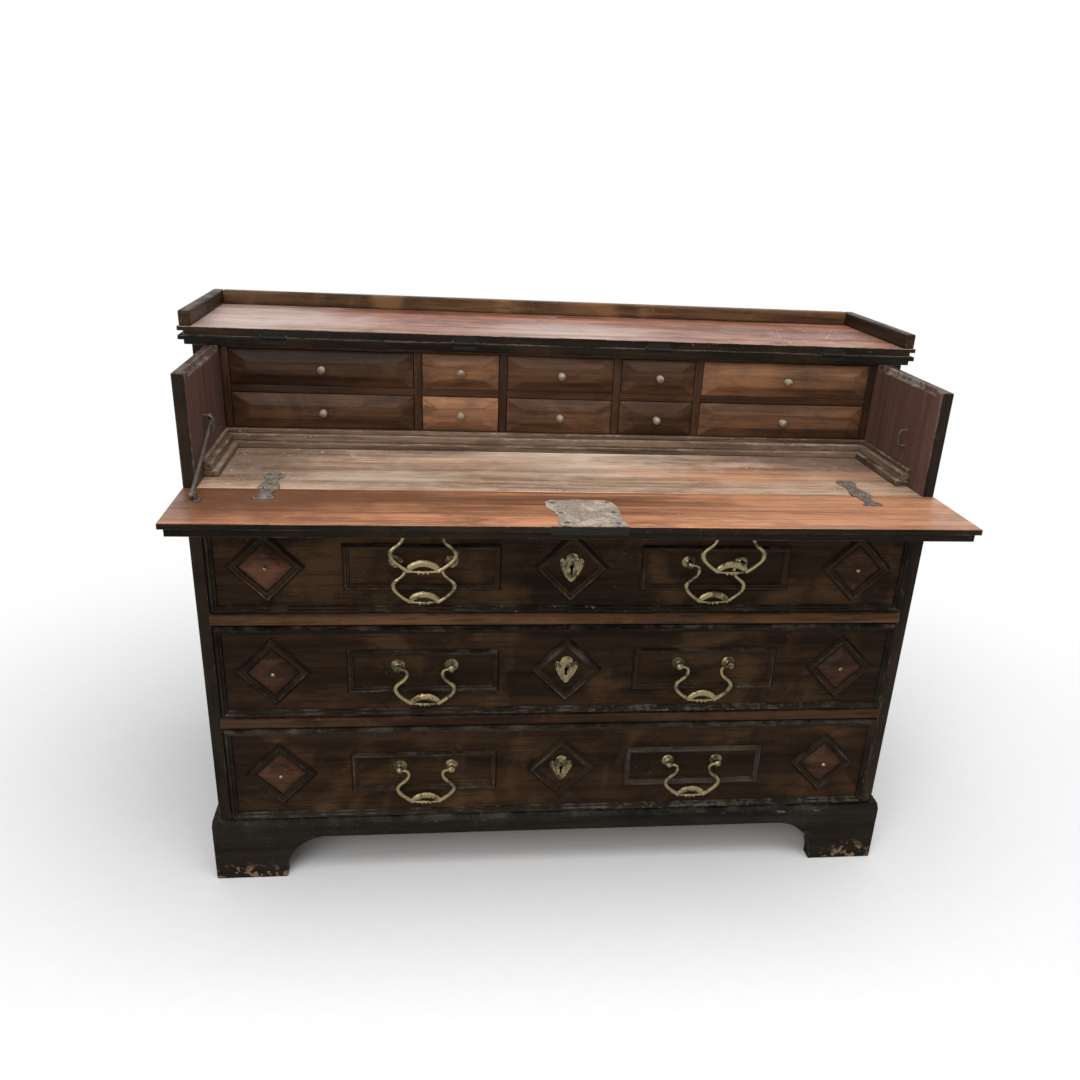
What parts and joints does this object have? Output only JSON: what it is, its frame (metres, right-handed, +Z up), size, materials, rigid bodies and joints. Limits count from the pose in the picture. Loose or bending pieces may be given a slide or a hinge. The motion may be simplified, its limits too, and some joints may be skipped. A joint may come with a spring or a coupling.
{
  "type": "escritoire",
  "caption": "Dark wood chest escritoire on a bracket plinth: long drawers with brass bails, a fall-front writing flap, a folding lid and a nest of small drawers.",
  "frame": {"origin": "on the floor, under the middle of the box round the open piece, with the fall level and the lid folded back", "axes": "+X to the right as seen from the front, +Y towards the back, +Z up"},
  "size_m": [1.33, 0.7628, 0.978],
  "materials": {
    "dark_walnut": "worn old polish",
    "ebonised_wood": "worn black stain",
    "red_walnut": "worn varnish",
    "plain_wood": "bare and dusty",
    "brass": "aged, rubbed on the high spots",
    "iron": "dull and pitted"
  },
  "bodies": {
    "case": {"side_left": "dark_walnut", "side_right": "dark_walnut", "back_boards": "plain_wood", "carcass_boards": "plain_wood", "drawer_rails": "red_walnut", "writing_bed": "red_walnut", "plinth_front": "ebonised_wood", "plinth_returns": "ebonised_wood", "fixed_top": "ebonised_wood", "nest_frame": "dark_walnut", "inner_mouldings": "dark_walnut", "case_ironwork": "iron", "top_hinge_leaves": "iron"},
    "lid": {"lid_board": "red_walnut", "lid_fascia": "ebonised_wood", "lid_hinge_leaves": "iron"},
    "fall": {"fall_board": "red_walnut", "fall_lock": "iron", "fall_ironwork": "iron", "fall_handle_posts": "brass"},
    "fall_bolt": {"fall_lock_bolt": "iron"},
    "stay": {"fall_stay": "iron"},
    "fall_handle_left": {"fall_bail_left": "brass"},
    "fall_handle_right": {"fall_bail_right": "brass"},
    "lower_drawer": {"lower_drawer_front": "dark_walnut", "lower_drawer_mouldings": "ebonised_wood", "lower_drawer_box": "plain_wood", "lower_drawer_brass": "brass", "lower_drawer_lock": "iron"},
    "lower_bolt": {"lower_drawer_lock_bolt": "iron"},
    "lower_handle_left": {"lower_drawer_bail_left": "brass"},
    "lower_handle_right": {"lower_drawer_bail_right": "brass"},
    "middle_drawer": {"middle_drawer_front": "dark_walnut", "middle_drawer_mouldings": "ebonised_wood", "middle_drawer_box": "plain_wood", "middle_drawer_brass": "brass", "middle_drawer_lock": "iron"},
    "middle_bolt": {"middle_drawer_lock_bolt": "iron"},
    "middle_handle_left": {"middle_drawer_bail_left": "brass"},
    "middle_handle_right": {"middle_drawer_bail_right": "brass"},
    "upper_drawer": {"upper_drawer_front": "dark_walnut", "upper_drawer_mouldings": "ebonised_wood", "upper_drawer_box": "plain_wood", "upper_drawer_brass": "brass", "upper_drawer_lock": "iron"},
    "upper_bolt": {"upper_drawer_lock_bolt": "iron"},
    "upper_handle_left": {"upper_drawer_bail_left": "brass"},
    "upper_handle_right": {"upper_drawer_bail_right": "brass"},
    "small_drawer_lower_1": {"small_drawer_lower_1": "dark_walnut"},
    "small_drawer_lower_2": {"small_drawer_lower_2": "dark_walnut"},
    "small_drawer_lower_3": {"small_drawer_lower_3": "dark_walnut"},
    "small_drawer_lower_4": {"small_drawer_lower_4": "dark_walnut"},
    "small_drawer_lower_5": {"small_drawer_lower_5": "dark_walnut"},
    "small_drawer_upper_1": {"small_drawer_upper_1": "dark_walnut"},
    "small_drawer_upper_2": {"small_drawer_upper_2": "dark_walnut"},
    "small_drawer_upper_3": {"small_drawer_upper_3": "dark_walnut"},
    "small_drawer_upper_4": {"small_drawer_upper_4": "dark_walnut"},
    "small_drawer_upper_5": {"small_drawer_upper_5": "dark_walnut"}
  },
  "joints": [
    {"name": "fall_hinge", "type": "hinge", "parent": "case", "child": "fall", "pos_m": [0, -0.2064, 0.746], "axis": [-1, 0, 0], "range_deg": [0, 90]},
    {"name": "lid_hinge", "type": "hinge", "parent": "case", "child": "lid", "pos_m": [0, 0.054, 0.937], "axis": [1, 0, 0], "range_deg": [0, 180]},
    {"name": "stay_pivot", "type": "hinge", "parent": "fall", "child": "stay", "pos_m": [-0.5925, -0.2704, 0.754], "axis": [-1, 0, 0], "range_deg": [-73.5, 0]},
    {"name": "fall_bolt_slide", "type": "slide", "parent": "fall", "child": "fall_bolt", "axis": [0, -1, 0], "range_m": [0, 0.008]},
    {"name": "fall_handle_left_swing", "type": "hinge", "parent": "fall", "child": "fall_handle_left", "pos_m": [-0.248, -0.3064, 0.713], "axis": [-1, 0, 0], "range_deg": [-90, 0]},
    {"name": "fall_handle_right_swing", "type": "hinge", "parent": "fall", "child": "fall_handle_right", "pos_m": [0.248, -0.3064, 0.713], "axis": [-1, 0, 0], "range_deg": [-90, 0]},
    {"name": "lower_drawer_slide", "type": "slide", "parent": "case", "child": "lower_drawer", "axis": [0, -1, 0], "range_m": [0, 0.36]},
    {"name": "lower_bolt_slide", "type": "slide", "parent": "lower_drawer", "child": "lower_bolt", "axis": [0, 0, 1], "range_m": [0, 0.008]},
    {"name": "lower_handle_left_swing", "type": "hinge", "parent": "lower_drawer", "child": "lower_handle_left", "pos_m": [-0.248, -0.222, 0.2285], "axis": [-1, 0, 0], "range_deg": [0, 100]},
    {"name": "lower_handle_right_swing", "type": "hinge", "parent": "lower_drawer", "child": "lower_handle_right", "pos_m": [0.248, -0.222, 0.2285], "axis": [-1, 0, 0], "range_deg": [0, 100]},
    {"name": "middle_drawer_slide", "type": "slide", "parent": "case", "child": "middle_drawer", "axis": [0, -1, 0], "range_m": [0, 0.36]},
    {"name": "middle_bolt_slide", "type": "slide", "parent": "middle_drawer", "child": "middle_bolt", "axis": [0, 0, 1], "range_m": [0, 0.008]},
    {"name": "middle_handle_left_swing", "type": "hinge", "parent": "middle_drawer", "child": "middle_handle_left", "pos_m": [-0.248, -0.222, 0.4325], "axis": [-1, 0, 0], "range_deg": [0, 100]},
    {"name": "middle_handle_right_swing", "type": "hinge", "parent": "middle_drawer", "child": "middle_handle_right", "pos_m": [0.248, -0.222, 0.4325], "axis": [-1, 0, 0], "range_deg": [0, 100]},
    {"name": "upper_drawer_slide", "type": "slide", "parent": "case", "child": "upper_drawer", "axis": [0, -1, 0], "range_m": [0, 0.08]},
    {"name": "upper_bolt_slide", "type": "slide", "parent": "upper_drawer", "child": "upper_bolt", "axis": [0, 0, 1], "range_m": [0, 0.008]},
    {"name": "upper_handle_left_swing", "type": "hinge", "parent": "upper_drawer", "child": "upper_handle_left", "pos_m": [-0.248, -0.222, 0.6255], "axis": [-1, 0, 0], "range_deg": [0, 100]},
    {"name": "upper_handle_right_swing", "type": "hinge", "parent": "upper_drawer", "child": "upper_handle_right", "pos_m": [0.248, -0.222, 0.6255], "axis": [-1, 0, 0], "range_deg": [0, 100]},
    {"name": "small_drawer_lower_1_slide", "type": "slide", "parent": "case", "child": "small_drawer_lower_1", "axis": [0, -1, 0], "range_m": [0, 0.15]},
    {"name": "small_drawer_lower_2_slide", "type": "slide", "parent": "case", "child": "small_drawer_lower_2", "axis": [0, -1, 0], "range_m": [0, 0.15]},
    {"name": "small_drawer_lower_3_slide", "type": "slide", "parent": "case", "child": "small_drawer_lower_3", "axis": [0, -1, 0], "range_m": [0, 0.15]},
    {"name": "small_drawer_lower_4_slide", "type": "slide", "parent": "case", "child": "small_drawer_lower_4", "axis": [0, -1, 0], "range_m": [0, 0.15]},
    {"name": "small_drawer_lower_5_slide", "type": "slide", "parent": "case", "child": "small_drawer_lower_5", "axis": [0, -1, 0], "range_m": [0, 0.15]},
    {"name": "small_drawer_upper_1_slide", "type": "slide", "parent": "case", "child": "small_drawer_upper_1", "axis": [0, -1, 0], "range_m": [0, 0.15]},
    {"name": "small_drawer_upper_2_slide", "type": "slide", "parent": "case", "child": "small_drawer_upper_2", "axis": [0, -1, 0], "range_m": [0, 0.15]},
    {"name": "small_drawer_upper_3_slide", "type": "slide", "parent": "case", "child": "small_drawer_upper_3", "axis": [0, -1, 0], "range_m": [0, 0.15]},
    {"name": "small_drawer_upper_4_slide", "type": "slide", "parent": "case", "child": "small_drawer_upper_4", "axis": [0, -1, 0], "range_m": [0, 0.15]},
    {"name": "small_drawer_upper_5_slide", "type": "slide", "parent": "case", "child": "small_drawer_upper_5", "axis": [0, -1, 0], "range_m": [0, 0.15]}
  ],
  "couplings": [
    {"joint": "stay_pivot", "follows": "fall_hinge", "ratio": -0.8155},
    {"joint": "fall_handle_left_swing", "follows": "fall_hinge", "ratio": -1},
    {"joint": "fall_handle_right_swing", "follows": "fall_hinge", "ratio": -1}
  ]
}
